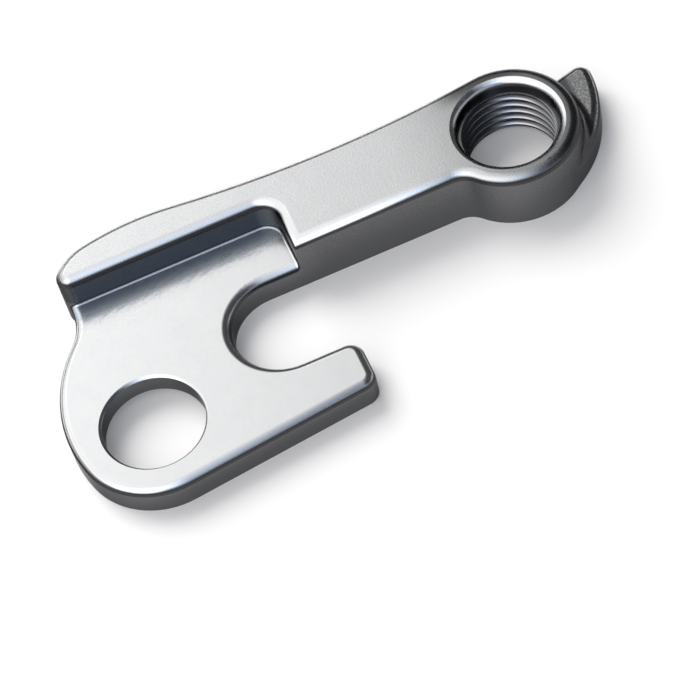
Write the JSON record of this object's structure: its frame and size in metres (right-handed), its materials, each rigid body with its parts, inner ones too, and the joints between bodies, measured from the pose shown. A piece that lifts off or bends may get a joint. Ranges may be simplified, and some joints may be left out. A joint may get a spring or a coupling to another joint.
{
  "type": "bicycle derailleur hanger",
  "caption": "Flat forged bicycle derailleur hanger with a bolt lobe, an open axle slot, a raised ridge against the frame, an arm with a threaded eye and a stop lug.",
  "frame": {"origin": "on the axis of the frame bolt's bore, in the face of the thin plate that meets the frame", "axes": "+X along the arm towards the threaded eye, +Y from the bolt lobe towards the ridge, +Z out of the face that meets the frame"},
  "size_m": [0.0612, 0.0285, 0.007],
  "materials": {
    "hanger_body": "satin, blasted and clear anodised"
  },
  "bodies": {
    "root": {"hanger_body": "hanger_body"}
  },
  "joints": []
}
